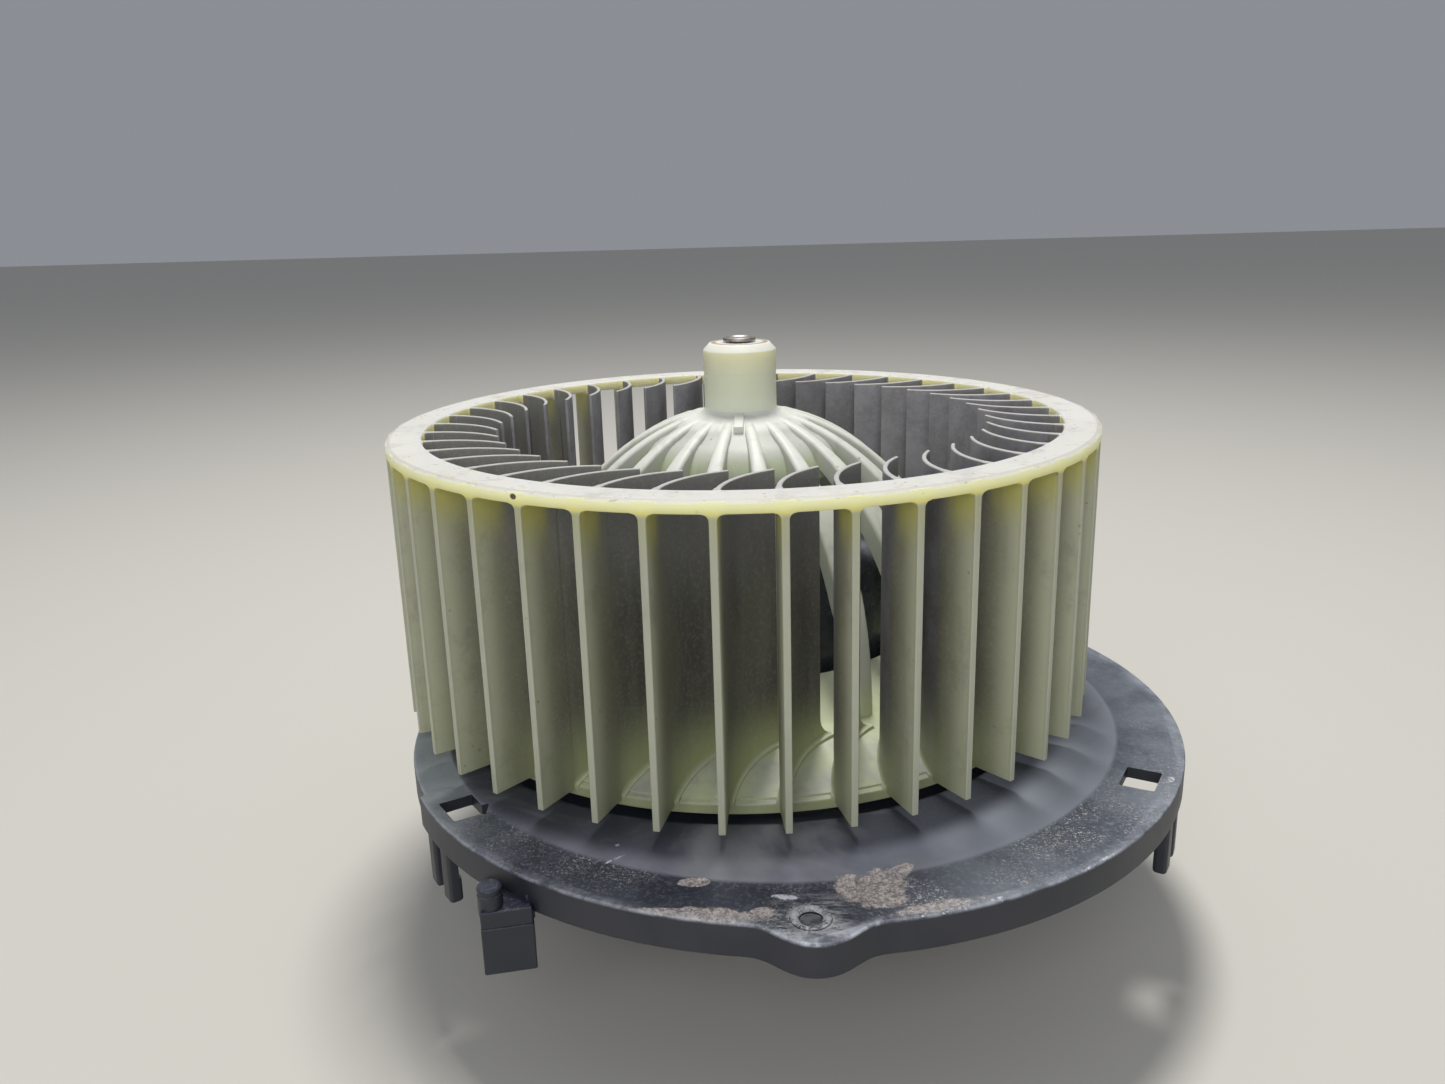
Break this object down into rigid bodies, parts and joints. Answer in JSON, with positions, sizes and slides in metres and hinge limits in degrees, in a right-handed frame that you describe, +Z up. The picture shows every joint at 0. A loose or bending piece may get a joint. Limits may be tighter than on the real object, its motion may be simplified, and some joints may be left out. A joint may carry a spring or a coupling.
{
  "type": "blower motor wheel",
  "caption": "Squirrel-cage fan wheel with a ribbed dome on a brush motor, held in an offset round mounting flange.",
  "frame": {"origin": "on the spin axis, at the centre of the motor cover's flat underside", "axes": "+Z up the spin axis towards the wheel's open end, -Y towards the flange's screw lobe, +Y towards the power socket"},
  "size_m": [0.1648, 0.1772, 0.1192],
  "materials": {
    "wheel_plastic": "natural cream moulded plastic, aged slightly green-yellow, with a thin film of grey dust",
    "shaft_steel": "ground steel",
    "plated_steel": "zinc plated steel",
    "rusty_cap": "worn steel with brown rust",
    "lamination_steel": "stacked sheet steel with a lacquered edge",
    "copper_wire": "enamelled copper wire",
    "copper_bars": "turned copper bars",
    "flange_plastic": "charcoal glass-filled plastic with a fine grain, dusty and gritty",
    "card_plastic": "black phenolic",
    "can_paint": "gloss black paint on deep-drawn steel",
    "rubber_black": "black vibration rubber",
    "ferrite": "ground ferrite magnet",
    "spring_steel": "bright spring steel",
    "bronze": "oil-soaked sintered bronze",
    "brass_strip": "stamped brass",
    "brush_carbon": "copper-graphite brush"
  },
  "bodies": {
    "housing": {"mounting_flange": "flange_plastic", "motor_can": "can_paint", "rubber_ring_upper": "rubber_black", "rubber_ring_lower": "rubber_black", "motor_cover": "flange_plastic", "cover_screw_1": "plated_steel", "cover_screw_2": "plated_steel", "cover_screw_3": "plated_steel", "magnet_right": "ferrite", "magnet_left": "ferrite", "magnet_spring_rear": "spring_steel", "magnet_spring_front": "spring_steel", "bearing_upper": "bronze", "bearing_lower": "bronze", "bearing_clip_upper": "spring_steel", "bearing_clip_lower": "spring_steel", "brush_card": "card_plastic", "brush_holder_right": "brass_strip", "brush_holder_left": "brass_strip", "brush_spring_right": "spring_steel", "brush_spring_left": "spring_steel", "choke_rear": "copper_wire", "choke_front": "copper_wire", "power_socket": "card_plastic", "terminal_right": "brass_strip", "terminal_left": "brass_strip"},
    "rotor": {"impeller": "wheel_plastic", "shaft": "shaft_steel", "thrust_washer_upper": "plated_steel", "thrust_washer_lower": "plated_steel", "shaft_cap": "rusty_cap", "armature_core": "lamination_steel", "armature_winding": "copper_wire", "commutator": "copper_bars"},
    "brush_slider_right": {"brush_right": "brush_carbon"},
    "brush_slider_left": {"brush_left": "brush_carbon"}
  },
  "joints": [
    {"name": "wheel_spin", "type": "hinge", "parent": "housing", "child": "rotor", "pos_m": [0, 0, 0.06], "axis": [0, 0, 1], "continuous": true},
    {"name": "brush_right_slide", "type": "slide", "parent": "housing", "child": "brush_slider_right", "axis": [1, 0, 0], "range_m": [0, 0.002], "stiffness_N_per_m": 300, "springref_m": -0.005, "deforming": ["brush_spring_right"]},
    {"name": "brush_left_slide", "type": "slide", "parent": "housing", "child": "brush_slider_left", "axis": [-1, 0, 0], "range_m": [0, 0.002], "stiffness_N_per_m": 300, "springref_m": -0.005, "deforming": ["brush_spring_left"]}
  ]
}
